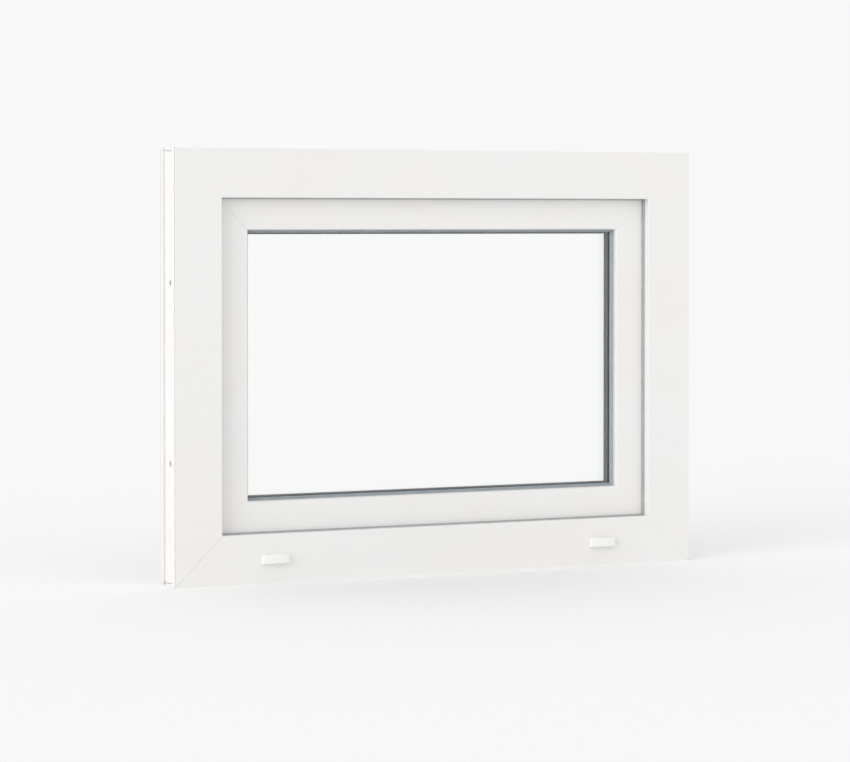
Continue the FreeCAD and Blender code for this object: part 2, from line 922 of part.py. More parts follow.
def pinion_solid():
    """The pinion: involute teeth that mesh with the rack, with a gap facing it at rest."""
    count = int(size.tooth_count.value)
    pitch_radius = PINION_PITCH_RADIUS.value
    module = TOOTH_MODULE.value
    base = pitch_radius * math.cos(math.radians(PRESSURE_ANGLE))
    root = pitch_radius - 0.9 * module
    tip = pitch_radius + ADDENDUM * module
    half_tooth = math.pi / (2 * count) - TOOTH_PLAY / pitch_radius + involute(base, pitch_radius)
    radii = [base + (tip - base) * step / 6 for step in range(7)]
    edges = []
    for tooth in range(count):
        middle = math.pi + (tooth + 0.5) * 2 * math.pi / count
        sides = []
        for side in (-1, 1):
            flank = [
                polar(radius, middle + side * (half_tooth - involute(base, radius)))
                for radius in radii
            ]
            sides.append(flank)
        before, after = sides
        next_foot = polar(root, middle + 2 * math.pi / count - half_tooth)
        edges.append(Part.makeLine(polar(root, middle - half_tooth), before[0]))
        edges.append(spline(before))
        edges.append(Part.Arc(before[-1], polar(tip, middle), after[-1]).toShape())
        edges.append(spline(after[::-1]))
        edges.append(Part.makeLine(after[0], polar(root, middle + half_tooth)))
        gap = polar(root, middle + math.pi / count)
        edges.append(Part.Arc(polar(root, middle + half_tooth), gap, next_foot).toShape())
    wire = Part.Wire(Part.sortEdges(edges)[0])
    gear = Part.Face(wire).extrude(FreeCAD.Vector(0, TOOTH_WIDTH, 0))
    gear.translate(FreeCAD.Vector(0, -TOOTH_WIDTH / 2, 0))
    along = FreeCAD.Vector(0, 1, 0)
    hub = Part.makeCylinder(HUB_RADIUS, CASE_DEPTH, FreeCAD.Vector(0, -CASE_DEPTH / 2, 0), along)
    side = size.spindle_side.value + 0.1
    corner = FreeCAD.Vector(-side / 2, -CASE_DEPTH, -side / 2)
    hole = Part.makeBox(side, CASE_DEPTH * 2, side, corner)
    return gear.fuse(hub).cut(hole).removeSplitter()


def polar(radius, angle):
    return FreeCAD.Vector(radius * math.cos(angle), 0, radius * math.sin(angle))


def spline(points):
    curve = Part.BSplineCurve()
    curve.interpolate(points)
    return curve.toShape()


def feature(label, solid, x=0, y=0, z=0):
    """A sub-part whose shape is worked out in code, placed where it belongs."""
    made = doc.addObject("Part::Feature", label)
    made.Shape = solid
    place(made, x, y, z)
    return keep(label, made)


def gearbox():
    """The gearbox case: a flat steel box, open towards the drive rod."""
    axis = size.groove_axis
    half = CASE_DEPTH / 2
    skin = 1.1
    low_x, high_x = FACEPLATE_BACK + 0.1 - HALF_WIDTH, size.glass_rebate - 2.3 - HALF_WIDTH
    level = size.handle_height
    depth = (y_of(axis - half), y_of(axis + half))
    room = (y_of(axis - half + skin), y_of(axis + half - skin))
    box = block("case_outer", (low_x, high_x), depth, (level - 62, level + 62))
    hollow = block("case_inner", (low_x - 1, high_x - 0.8), room, (level - 60, level + 60))
    ends = ROD_BACK + 0.3 - HALF_WIDTH
    way = block("case_rod_way", (low_x - 1, ends), room, (level - 63, level + 63))
    hub = cylinder(
        "case_hub", HUB_RADIUS + size.running_gap, CASE_DEPTH * 2, "+Y",
        SPINDLE_X, y_of(axis - CASE_DEPTH), level,
    )
    shell = cut("case_shell", box, [hollow, way, hub])
    posts = []
    holes = []
    for side_sign in (-1, 1):
        z = level + size.handle_screw_spacing / 2 * side_sign
        posts.append(
            cylinder("case_post", 4.4, CASE_DEPTH, "+Y", SPINDLE_X, y_of(axis - half), z)
        )
        holes.append(
            cylinder("case_thread", 2.5, CASE_DEPTH + 2, "+Y", SPINDLE_X, y_of(axis - half - 1), z)
        )
    keep("gearbox_case", cut("gearbox_case", fuse("case_posted", [shell] + posts), holes))


def cam(label, level):
    """A locking cam: a shank on the drive rod with a wider head behind the keep's hook."""
    x = ROD_FRONT - HALF_WIDTH
    y = y_of(size.groove_axis)
    reach = ROD_FRONT - size.frame_rebate - 4
    shank = cylinder("cam_shank", size.cam_radius, reach, "-X", x, y, level)
    head = cylinder("cam_head", size.cam_radius + 1, 1.8, "-X", x - reach + 1.8, y, level)
    keep(label, fuse(label, [shank, head]))


def strike_keep(label, level):
    """A keep on the jamb's rebate floor: a plate with a hook on the cam's room side."""
    x = (size.frame_rebate - HALF_WIDTH, size.frame_rebate + size.faceplate_thickness - HALF_WIDTH)
    axis = size.groove_axis
    low = level - size.lock_travel - 27
    plate = block("keep_plate", x, (y_of(axis - 9.5), y_of(axis + 9.4)), (low, low + size.keep_length))
    hook_in = axis + size.cam_radius + 1.4
    hook = block("keep_hook", (x[0], x[1] + 6.5), (y_of(hook_in), y_of(hook_in + 3)), (level - 7, level + 15))
    tools = [
        screw_parts("keep_hole", "-X", x[1], y_of(axis), z, size.keep_screw_length, 0.1)
        for z in keep_screw_levels(level)
    ]
    keep(label, cut(label, fuse("keep_blank", [plate, hook]), tools))


def keep_screw_levels(level):
    low = level - size.lock_travel - 27
    return [low + 7, low + size.keep_length - 7]


def keep_screws():
    x = size.frame_rebate + size.faceplate_thickness - HALF_WIDTH
    y = y_of(size.groove_axis)
    levels = keep_screw_levels(size.cam_lower) + keep_screw_levels(size.cam_upper)
    length = size.keep_screw_length
    group("keep_screws", [screw_parts("keep_screw", "-X", x, y, z, length) for z in levels])


# ---- the handle ----


def handle_screw_levels():
    half = size.handle_screw_spacing / 2
    return [size.handle_height - half, size.handle_height + half]


def handle_screw(name, z, gap=0.0):
    """A countersunk machine screw from the handle's base into the gearbox."""
    y = y_of(SASH_BACK + size.handle_base_thickness)
    shank = size.handle_screw_radius + gap
    head = size.handle_screw_head_radius + gap
    taper = cone(name + "_head", head, shank, 2.5, "-Y", SPINDLE_X, y, z)
    body = cylinder(name + "_shank", shank, size.handle_screw_length, "-Y", SPINDLE_X, y, z)
    return fuse(name, [taper, body])


def rounded_plate(sketch, half_width, half_height, radius):
    corners = rectangle(-half_width, half_width, -half_height, half_height)
    outline(sketch, [(x, z, radius) for x, z in corners])


def handle_base():
    """The handle's fixed base: a plate on the sash with the collar that the lever turns in."""
    body = new_body("handle_base_blank", finished=False)
    plate = new_sketch(body, "XZ_Plane")
    rounded_plate(plate, 14, 33, 5)
    circle(plate, 0, 0, 6)
    pad(body, plate, size.handle_base_thickness, reverse=True)
    collar = new_sketch(body, "XZ_Plane")
    circle(collar, 0, 0, 11)
    circle(collar, 0, 0, 6)
    pad(body, collar, size.handle_base_thickness + size.cover_thickness, reverse=True)
    place(body, SPINDLE_X, y_of(SASH_BACK), size.handle_height)
    holes = [handle_screw("handle_hole", z, 0.1) for z in handle_screw_levels()]
    keep("handle_base", cut("handle_base", body, holes))


def handle_cover():
    """The snap-on cover plate, which turns about the collar to bare the screws."""
    body = new_body("handle_cover_plate")
    lift = size.handle_base_thickness + 0.3
    plate = new_sketch(body, "XZ_Plane", -lift)
    rounded_plate(plate, 15.5, 34.5, 6)
    circle(plate, 0, 0, 11 + size.running_gap)
    solid = pad(body, plate, size.cover_thickness, reverse=True)
    doc.recompute()
    front = front_edges(solid.Shape, (lift + size.cover_thickness).value)
    rim = [name for name in front if not is_bore(solid.Shape.getElement(name))]
    soften(body, "Fillet", solid, 1.8, rim)
    place(body, SPINDLE_X, y_of(SASH_BACK), size.handle_height)


def is_bore(edge):
    """Whether an edge is a whole circle, such as a bore's rim."""
    return isinstance(edge.Curve, Part.Circle) and edge.isClosed()


def handle_lever():
    """The lever: a round neck on the spindle and a flat grip that hangs down at rest."""
    body = new_body("handle_lever")
    lift = size.handle_base_thickness + size.cover_thickness + 0.5
    grip = new_sketch(body, "YZ_Plane")
    outer, inner = size.lever_reach, size.lever_reach - 13
    outline(
        grip,
        [
            (outer, 11, 7),
            (outer, -size.lever_length, 5),
            (inner, -size.lever_length, 5),
            (inner, 11, 3),
        ],
    )
    solid = pad(body, grip, 20, symmetric=True)
    doc.recompute()
    side_edges = [
        f"Edge{n}"
        for n, edge in enumerate(solid.Shape.Edges, start=1)
        if edge.BoundBox.XLength < 1e-6
    ]
    soften(body, "Fillet", solid, 2.8, side_edges)
    neck = new_sketch(body, "XZ_Plane", -lift)
    circle(neck, 0, 0, 9)
    pad(body, neck, inner - lift + 3, reverse=True)
    socket = new_sketch(body, "XZ_Plane", -lift)
    half = size.spindle_side / 2 + 0.05
    outline(socket, rectangle(-half, half, -half, half))
    pocket(body, socket, 20)
    place(body, SPINDLE_X, y_of(SASH_BACK), size.handle_height)


def handle_spindle():
    """The square steel bar that the lever turns, and that turns the pinion."""
    half = size.spindle_side / 2
    level = size.handle_height
    depth = (y_of(size.groove_axis - CASE_DEPTH / 2), y_of(SASH_BACK + 28))
    x = (SPINDLE_X - half, SPINDLE_X + half)
    keep("handle_spindle", block("handle_spindle", x, depth, (level - half, level + half)))


# ---- the hinges ----


def outer_knuckle_spans(level):
    """Where the frame leaf's two knuckles lie, above and below the sash leaf's one."""
    inner = size.knuckle_length / 2 + 0.3
    reach = inner + size.outer_knuckle_length
    return [(level - reach, level - inner), (level + inner, level + reach)]


def frame_leaf_screw_levels(level):
    return [level - 40, level, level + 40]


def frame_leaf(label, level):
    """The fixed leaf of a hinge: a plate on the frame's room face with two knuckles."""
    face = y_of(size.frame_depth)
    leaf = size.leaf_thickness
    x = (HALF_WIDTH - 34, HALF_WIDTH - 6)
    parts = [block("frame_leaf_plate", x, (face, face + leaf), (level - 46, level + 46))]
    for span in outer_knuckle_spans(level):
        web = (HINGE_X - 5, HINGE_X + 5)
        parts.append(block("frame_leaf_web", web, (face + leaf - 0.5, HINGE_Y), span))
        parts.append(
            cylinder("knuckle", size.knuckle_radius, span[1] - span[0], "+Z", HINGE_X, HINGE_Y, span[0])
        )
    bore = cylinder("bore", size.pin_radius + 0.01, 100, "+Z", HINGE_X, HINGE_Y, level - 50)
    holes = [
        screw_parts("leaf_hole", "-Y", HALF_WIDTH - 14, face + leaf, z, size.screw_length, 0.1)
        for z in frame_leaf_screw_levels(level)
    ]
    keep(label, cut(label, fuse("frame_leaf_blank", parts), [bore] + holes))


def sash_leaf_screw_levels(level):
    return [level - 22, level + 22]


def sash_leaf(label, level):
    """The moving leaf of a hinge: a plate on the sash's room face with one knuckle."""
    face = y_of(SASH_BACK)
    leaf = size.leaf_thickness
    half = size.knuckle_length / 2
    edge = HALF_WIDTH - size.sash_overlap
    parts = [
        block("sash_leaf_plate", (edge - 28, edge - 3), (face, face + leaf), (level - 30, level + 30)),
        block("sash_leaf_arm", (edge - 5, HINGE_X), (face, face + 2), (level - half, level + half)),
        cylinder(
            "knuckle", size.knuckle_radius, size.knuckle_length, "+Z", HINGE_X, HINGE_Y, level - half
        ),
    ]
    bore = cylinder("bore", size.pin_radius + 1.5, 100, "+Z", HINGE_X, HINGE_Y, level - 50)
    holes = [
        screw_parts("leaf_hole", "-Y", edge - 17, face + leaf, z, size.screw_length, 0.1)
        for z in sash_leaf_screw_levels(level)
    ]
    keep(label, cut(label, fuse("sash_leaf_blank", parts), [bore] + holes))


def hinge_pin(label, level):
    reach = size.knuckle_length / 2 + 0.3 + size.outer_knuckle_length
    pin = cylinder(label, size.pin_radius, reach * 2, "+Z", HINGE_X, HINGE_Y, level - reach)
    keep(label, pin)


def hinge_bushes(levels):
    """Plastic bushes pressed into the sash leaves, in which the pins turn."""
    bushes = []
    for level in levels:
        start = level - size.knuckle_length / 2
        outer = cylinder(
            "bush_outer", size.pin_radius + 1.5, size.knuckle_length, "+Z", HINGE_X, HINGE_Y, start
        )
        inner = cylinder(
            "bush_inner", size.pin_radius + size.running_gap, 60, "+Z", HINGE_X, HINGE_Y, start - 10
        )
        bushes.append(cut("bush", outer, [inner]))
    group("hinge_bushes", bushes)


def hinge_caps(levels):
    """Plastic caps over both ends of each hinge."""
    caps = []
    for level in levels:
        reach = size.knuckle_length / 2 + 0.3 + size.outer_knuckle_length
        radius = size.knuckle_radius
        for direction, start in (("+Z", level + reach), ("-Z", level - reach)):
            caps.append(cone("cap", radius, radius - 1.2, 3, direction, HINGE_X, HINGE_Y, start))
    group("hinge_caps", caps)


def leaf_screws(label, x, face, levels):
    y = face + size.leaf_thickness
    length = size.screw_length
    group(label, [screw_parts("leaf_screw", "-Y", x, y, z, length) for z in levels])


# ---- the whole window ----


frame_sill()
mitred_member("frame_head", "top", frame_contour(), frame_chambers())
frame_jamb("frame_jamb_left", "left", -1)
frame_jamb("frame_jamb_right", "right", 1)
bars("frame_reinforcement", dim(26), dim(54), dim(6), size.frame_rebate - size.wall - 3, 60)
frame_seal()
drain_cap("drain_cap_left", -1)
drain_cap("drain_cap_right", 1)

mitred_member("sash_bottom_rail", "bottom", sash_contour(), sash_chambers())
mitred_member("sash_top_rail", "top", sash_contour(), sash_chambers())
mitred_member("sash_hinge_stile", "right", sash_contour(), sash_chambers())
sash_lock_stile()
bars("sash_reinforcement", dim(27.5), dim(46), size.sash_rebate + size.wall,
     size.glass_rebate - size.wall, 110)
sash_seal()
outer_gasket()
inner_gasket()
pane("glass_outer", PANE_FACE)
pane("glass_inner", PANE_BACK - size.pane_thickness)
GAP_FRONT = PANE_FACE + size.pane_thickness
GAP_BACK = GAP_FRONT + size.pane_gap
SPACER_FOOT = size.spacer_sight - size.spacer_height
flat_ring("glass_spacer", GAP_FRONT, GAP_BACK, SPACER_FOOT, size.spacer_sight)
flat_ring("glass_edge_seal", GAP_FRONT, GAP_BACK, size.pane_edge, SPACER_FOOT)
setting_blocks()
for side in member_turns():
    mitred_member(f"glazing_bead_{side}", side, bead_contour(), bead_chambers())

faceplate()
faceplate_screws()
gearbox()
feature("drive_rod", rod_solid(), y=y_of(size.groove_axis - size.rod_width / 2))
feature("gearbox_pinion", pinion_solid(), SPINDLE_X, y_of(size.groove_axis), size.handle_height)
cam("cam_lower", size.cam_lower)
cam("cam_upper", size.cam_upper)
strike_keep("keep_lower", size.cam_lower)
strike_keep("keep_upper", size.cam_upper)
keep_screws()

handle_base()
handle_cover()
handle_lever()
handle_spindle()
group("handle_screws", [handle_screw("handle_screw", z) for z in handle_screw_levels()])

HINGE_LEVELS = {"lower": size.hinge_lower, "upper": size.hinge_upper}
for name, level in HINGE_LEVELS.items():
    frame_leaf(f"hinge_frame_leaf_{name}", level)
    sash_leaf(f"hinge_sash_leaf_{name}", level)
    hinge_pin(f"hinge_pin_{name}", level)
hinge_bushes(list(HINGE_LEVELS.values()))
hinge_caps(list(HINGE_LEVELS.values()))
leaf_screws(
    "hinge_frame_screws",
    HALF_WIDTH - 14,
    y_of(size.frame_depth),
    [z for level in HINGE_LEVELS.values() for z in frame_leaf_screw_levels(level)],
)
leaf_screws(
    "hinge_sash_screws",
    HALF_WIDTH - size.sash_overlap - 17,
    y_of(SASH_BACK),
    [z for level in HINGE_LEVELS.values() for z in sash_leaf_screw_levels(level)],
)


# ---- checks and files ----


doc.recompute()
failed = [o.Name for o in doc.Objects if {"Invalid", "Error"} & set(o.State)]
if failed:
    raise RuntimeError(f"these objects did not build: {failed}")
for label, target in nodes.items():
    if target.Shape.isNull() or not target.Shape.isValid():
        raise RuntimeError(f"{label} has no valid shape")
os.makedirs("parts", exist_ok=True)
for label, target in nodes.items():
    target.Shape.exportStep(f"parts/{label}.step")
print(len(nodes), "sub-parts")
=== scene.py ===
import math

import bmesh
import bpy
from mathutils import Matrix, Vector


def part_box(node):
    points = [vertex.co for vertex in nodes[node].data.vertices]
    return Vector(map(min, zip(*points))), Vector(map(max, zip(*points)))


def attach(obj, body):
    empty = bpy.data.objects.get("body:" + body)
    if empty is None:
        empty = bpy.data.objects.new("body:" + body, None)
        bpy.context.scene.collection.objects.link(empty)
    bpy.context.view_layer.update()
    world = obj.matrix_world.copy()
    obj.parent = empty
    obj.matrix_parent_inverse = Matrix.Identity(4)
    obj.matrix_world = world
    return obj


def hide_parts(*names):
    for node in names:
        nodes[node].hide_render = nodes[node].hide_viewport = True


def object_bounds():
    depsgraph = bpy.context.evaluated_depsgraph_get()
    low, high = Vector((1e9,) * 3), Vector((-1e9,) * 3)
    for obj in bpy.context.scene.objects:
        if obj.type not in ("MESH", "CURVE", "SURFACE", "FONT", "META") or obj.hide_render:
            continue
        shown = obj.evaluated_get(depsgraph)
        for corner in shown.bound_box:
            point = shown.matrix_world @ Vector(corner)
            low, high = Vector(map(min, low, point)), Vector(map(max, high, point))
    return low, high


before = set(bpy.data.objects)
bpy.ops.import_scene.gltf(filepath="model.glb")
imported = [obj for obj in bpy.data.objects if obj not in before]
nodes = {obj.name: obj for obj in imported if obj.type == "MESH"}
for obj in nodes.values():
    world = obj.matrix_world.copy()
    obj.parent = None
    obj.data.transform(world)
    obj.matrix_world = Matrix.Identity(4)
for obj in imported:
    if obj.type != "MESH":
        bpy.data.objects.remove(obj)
cad_low, cad_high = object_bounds()


# ---- Camera ----
# A long lens from the left of the outside, level with the top of the glass. It tips down by
# one degree and the rest of the drop is lens shift, so the uprights stay close to upright.
lens_data = bpy.data.cameras.new("camera")
lens_data.lens = 123.95
lens_data.sensor_width = 36.0
lens_data.shift_y = -0.13
lens_data.clip_end = 300
camera = bpy.data.objects.new("camera", lens_data)
camera.location = (-1.742, -3.789, 0.500)
camera.rotation_euler = (math.radians(90 - 0.97), 0, math.radians(-24.535))
bpy.context.scene.collection.objects.link(camera)
bpy.context.scene.camera = camera


# ---- Outer frame ----
# Four lengths of hollow white window plastic, extruded, cut at 45 degrees and welded at
# the corners. The weld is pared flush, which leaves a hairline across each corner.
def new_material(name, roughness, metallic=0.0):
    """A material with one Principled shader, its node tree and that shader."""
    material = bpy.data.materials.new(name)
    material.use_nodes = True
    shader = material.node_tree.nodes["Principled BSDF"]
    shader.inputs["Roughness"].default_value = roughness
    shader.inputs["Metallic"].default_value = metallic
    return material, material.node_tree, shader


def coordinates(tree, stretch=(1, 1, 1)):
    """The object's own metres, squeezed along each axis."""
    place = tree.nodes.new("ShaderNodeTexCoord")
    mapping = tree.nodes.new("ShaderNodeMapping")
    mapping.inputs["Scale"].default_value = stretch
    tree.links.new(place.outputs["Object"], mapping.inputs["Vector"])
    return mapping.outputs["Vector"]


def noise(tree, scale, detail=2.0, stretch=(1, 1, 1)):
    node = tree.nodes.new("ShaderNodeTexNoise")
    node.inputs["Scale"].default_value = scale
    node.inputs["Detail"].default_value = detail
    tree.links.new(coordinates(tree, stretch), node.inputs["Vector"])
    return node.outputs["Fac"]


def level(tree, value, start, end, low=0.0, high=1.0):
    """A value stretched from start..end to low..high, and held there past the ends."""
    node = tree.nodes.new("ShaderNodeMapRange")
    ends = {"From Min": start, "From Max": end, "To Min": low, "To Max": high}
    for name, number in ends.items():
        node.inputs[name].default_value = number
    tree.links.new(value, node.inputs["Value"])
    return node.outputs["Result"]


def maths(tree, operation, *values):
    node = tree.nodes.new("ShaderNodeMath")
    node.operation = operation
    for socket, value in zip(node.inputs, values):
        if isinstance(value, (int, float)):
            socket.default_value = value
        else:
            tree.links.new(value, socket)
    return node.outputs["Value"]


def blend_colours(tree, factor, first, second):
    """The first colour where the factor is 0 and the second where it is 1."""
    node = tree.nodes.new("ShaderNodeMix")
    node.data_type = "RGBA"
    tree.links.new(factor, node.inputs["Factor"])
    for socket, colour in (("A", first), ("B", second)):
        target = [s for s in node.inputs if s.name == socket and s.type == "RGBA"][0]
        if isinstance(colour, tuple):
            target.default_value = (*colour, 1)
        else:
            tree.links.new(colour, target)
    return [s for s in node.outputs if s.type == "RGBA"][0]


def relief(tree, shader, height, depth):
    """Raises the surface by depth metres where the height is 1, on top of earlier relief."""
    bump = tree.nodes.new("ShaderNodeBump")
    bump.inputs["Distance"].default_value = depth
    tree.links.new(height, bump.inputs["Height"])
    if shader.inputs["Normal"].is_linked:
        tree.links.new(shader.inputs["Normal"].links[0].from_socket, bump.inputs["Normal"])
    tree.links.new(bump.outputs["Normal"], shader.inputs["Normal"])


def give(material, *names):
    """Puts a finish on carried-over parts."""
    for name in names:
        for slot in nodes[name].material_slots:
            slot.material = material


WHITE = (0.855, 0.855, 0.85)
WARM_WHITE = (0.86, 0.845, 0.815)
# Grey of the weld hairlines; also used for painted shade in the side grooves and along the front
# edge.
WELD_AND_SHADE_GREY = (0.58, 0.57, 0.55)
NICK_GREY = (0.12, 0.11, 0.10)
SCORCH = (0.36, 0.31, 0.29)
HALF_WIDTH = cad_high.x
HALF_HEIGHT = cad_high.z / 2
GROOVES_IN_FROM_RIM = (0.0018, 0.0055)
GROOVES_DEPTH = (0.005, 0.0308)
FRONT_EDGE_DEPTH = (-0.0306, -0.0284)
PARED_UP_FROM_END = (0.0040, 0.0046)
PARED_DEPTH = (-0.018, 0.018)


def between(tree, value, low, high, soft):
    """1 where a value lies from low to high, fading out over soft."""
    return maths(
        tree,
        "MULTIPLY",
        level(tree, value, low - soft, low),
        level(tree, value, high, high + soft, 1.0, 0.0),
    )


def window_plastic(name, die_lines, weld_below, weld_above, outer_edges=False):
    """Satin white plastic with faint lines along its extrusion and hairline welds.

    The welds show more or less below and above mid-height. outer_edges adds what the
    frame's outer faces carry: dusty grooves greyed with painted groove shade, a painted
    shade line along the nicked front edge, pared weld ends."""
    material, tree, shader = new_material(name, 0.34)
    shader.inputs["Coat Weight"].default_value = 0.3
    shader.inputs["Coat Roughness"].default_value = 0.15
    place = tree.nodes.new("ShaderNodeTexCoord")
    axes = tree.nodes.new("ShaderNodeSeparateXYZ")
    tree.links.new(place.outputs["Object"], axes.inputs["Vector"])
    from_middle = maths(tree, "ABSOLUTE", axes.outputs["X"])
    from_side = maths(tree, "SUBTRACT", HALF_WIDTH, from_middle)
    above_centre = maths(tree, "SUBTRACT", axes.outputs["Z"], HALF_HEIGHT)
    from_centre = maths(tree, "ABSOLUTE", above_centre)
    from_end = maths(tree, "SUBTRACT", HALF_HEIGHT, from_centre)
    off_mitre = maths(tree, "ABSOLUTE", maths(tree, "SUBTRACT", from_side, from_end))
    weld = level(tree, off_mitre, 0.0003, 0.0015, 1.0, 0.0)
    weld = maths(tree, "MULTIPLY", weld, level(tree, noise(tree, 90, 4), 0.38, 0.62, 0.25, 1.0))
    weld = maths(tree, "MULTIPLY", weld, level(tree, axes.outputs["X"], -0.1, 0.1, 1.0, 0.55))
    strength = level(
        tree, axes.outputs["Z"], HALF_HEIGHT - 0.02, HALF_HEIGHT + 0.02, weld_below, weld_above
    )
    weld = maths(tree, "MULTIPLY", weld, strength)
    colour = blend_colours(tree, level(tree, noise(tree, 7, 3), 0.35, 0.65), WHITE, WARM_WHITE)
    colour = blend_colours(tree, maths(tree, "MULTIPLY", weld, 0.55), colour, WELD_AND_SHADE_GREY)
    if outer_edges:
        depth = axes.outputs["Y"]
        from_rim = maths(tree, "MINIMUM", from_side, from_end)
        # The grey patches in the side grooves are dusty, and partly painted shade of the grooves.
        grooves = maths(
            tree,
            "MULTIPLY",
            between(tree, from_rim, *GROOVES_IN_FROM_RIM, 0.0003),
            between(tree, depth, *GROOVES_DEPTH, 0.0004),
        )
        patches = level(tree, noise(tree, 120, 4), 0.3, 0.7, 0.05, 0.25)
        dust_and_groove_shade = maths(tree, "MULTIPLY", grooves, patches)
        colour = blend_colours(tree, dust_and_groove_shade, colour, WELD_AND_SHADE_GREY)
        outer = level(tree, from_rim, 0.0014, 0.0018, 1.0, 0.0)
        # Painted shade: a grey line along the small groove at the front edge of the outer faces.
        # The dark nicks on it are chips.
        front_edge = between(tree, depth, *FRONT_EDGE_DEPTH, 0.0002)
        edge = maths(tree, "MULTIPLY", outer, front_edge)
        colour = blend_colours(tree, maths(tree, "MULTIPLY", edge, 0.9), colour, WELD_AND_SHADE_GREY)
        nicks = maths(tree, "MULTIPLY", edge, level(tree, noise(tree, 260, 3), 0.6, 0.68))
        colour = blend_colours(tree, maths(tree, "MULTIPLY", nicks, 0.65), colour, NICK_GREY)
        wander = level(tree, noise(tree, 140, 3), 0.3, 0.7, -0.0016, 0.0016)
        trim = between(tree, maths(tree, "ADD", from_end, wander), *PARED_UP_FROM_END, 0.0006)
        trim = maths(tree, "MULTIPLY", trim, outer)
        trim = maths(tree, "MULTIPLY", trim, between(tree, depth, *PARED_DEPTH, 0.002))
        colour = blend_colours(tree, maths(tree, "MULTIPLY", trim, 0.85), colour, SCORCH)
        relief(tree, shader, maths(tree, "SUBTRACT", 1.0, trim), 0.0004)
    tree.links.new(colour, shader.inputs["Base Color"])
    polish = level(tree, noise(tree, 24, 4), 0.3, 0.7, 0.28, 0.42)
    tree.links.new(polish, shader.inputs["Roughness"])
    relief(tree, shader, noise(tree, 1.0, 2, die_lines), 0.00003)
    relief(tree, shader, noise(tree, 900, 2), 0.000012)
    relief(tree, shader, maths(tree, "SUBTRACT", 1.0, weld), 0.00025)
    return material


LEVEL = (1.5, 700, 700)
UPRIGHT = (700, 700, 1.5)
frame_level = window_plastic("frame_plastic_level", LEVEL, 1.0, 0.12, outer_edges=True)
frame_upright = window_plastic("frame_plastic_upright", UPRIGHT, 1.0, 0.12, outer_edges=True)
give(frame_level, "frame_sill", "frame_head")
give(frame_upright, "frame_jamb_left", "frame_jamb_right")


# ---- Frame reinforcement ----
# Four tubes of galvanised steel, rolled from strip. One is pushed into the big chamber of
# each length before the corners are welded, and it carries the screws.
def metal(name, colour, darker, roughness, grain, stretch=(1, 1, 1)):
    """Bare or plated metal with a fine grain that breaks up its shine."""
    material, tree, shader = new_material(name, roughness, 1.0)
    pattern = noise(tree, grain, 4, stretch)
    tree.links.new(
        blend_colours(tree, level(tree, pattern, 0.3, 0.7), colour, darker),
        shader.inputs["Base Color"],
    )
    tree.links.new(
        level(tree, pattern, 0.3, 0.7, roughness - 0.08, roughness + 0.1),
        shader.inputs["Roughness"],
    )
    relief(tree, shader, pattern, 0.00002)
    return material


galvanised = metal("galvanised_steel", (0.62, 0.64, 0.66), (0.48, 0.50, 0.52), 0.4, 90)
tree = galvanised.node_tree
spangle = tree.nodes.new("ShaderNodeTexVoronoi")
spangle.inputs["Scale"].default_value = 160
tree.links.new(coordinates(tree), spangle.inputs["Vector"])
tree.links.new(
    blend_colours(
        tree,
        level(tree, spangle.outputs["Distance"], 0.1, 0.7),
        (0.66, 0.68, 0.70),
        (0.50, 0.52, 0.55),
    ),
    tree.nodes["Principled BSDF"].inputs["Base Color"],
)
give(galvanised, "frame_reinforcement")


# ---- Frame seal ----
# One ring of soft grey rubber, pressed into the groove behind the frame's lip. The closed
# sash squeezes it.
def rubber(name, colour, bloom, roughness=0.62):
    """Matt rubber with a pale bloom and a fine skin."""
    material, tree, shader = new_material(name, roughness)
    tree.links.new(
        blend_colours(tree, level(tree, noise(tree, 60, 4), 0.4, 0.75), colour, bloom),
        shader.inputs["Base Color"],
    )
    relief(tree, shader, noise(tree, 1800, 3), 0.00002)
    return material


SEAL_GREY = (0.36, 0.37, 0.385)
SEAL_BLOOM = (0.42, 0.43, 0.445)
seal_rubber = rubber("seal_rubber", SEAL_GREY, SEAL_BLOOM)
give(seal_rubber, "frame_seal")


# ---- Drain caps ----
# Two small hoods of moulded white plastic, clipped into the drain slots of the sill by a
# tongue. They are open below, so water runs out and wind doesn't blow in.
def mottled(name, roughness, patches, colour, darker):
    """A smooth finish whose colour wanders a little; patches is how many to the metre."""
    material, tree, shader = new_material(name, roughness)
    pattern = level(tree, noise(tree, patches, 3), 0.35, 0.65)
    tree.links.new(blend_colours(tree, pattern, colour, darker), shader.inputs["Base Color"])
    return material, tree, shader


moulded_white, tree, shader = mottled(
    "moulded_white", 0.3, 40, (0.92, 0.92, 0.915), (0.90, 0.90, 0.89)
)
relief(tree, shader, noise(tree, 1500, 2), 0.00001)


SAME_POINT = 0.000001


def piece(name, form, material, body, slot_name, *stands_for):
    """Makes a bmesh a piece that rides on a body and stands for carried-over parts."""
    bmesh.ops.remove_doubles(form, verts=form.verts, dist=SAME_POINT)
    bmesh.ops.recalc_face_normals(form, faces=form.faces)
    mesh = bpy.data.meshes.new(name)
    form.to_mesh(mesh)
    form.free()
    mesh.materials.append(material)
    mesh.shade_smooth()
    mesh.set_sharp_from_angle(angle=math.radians(35))
    made = bpy.data.objects.new(name, mesh)
    bpy.context.scene.collection.objects.link(made)
    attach(made, body)
    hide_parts(*stands_for)
    return made


HOOD_WALL = 0.0016
HOOD_ROUNDING = 0.0012
HOOD_HOLLOW = 0.003
TONGUE = Vector((0.024, 0.010, 0.0016))
FRAME_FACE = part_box("frame_sill")[0].y


def block(form, low, high):
    """An upright box between two corners."""
    centre, extent = (low + high) / 2, high - low
    bmesh.ops.create_cube(
        form, size=1, matrix=Matrix.Translation(centre) @ Matrix.Diagonal((*extent, 1))
    )


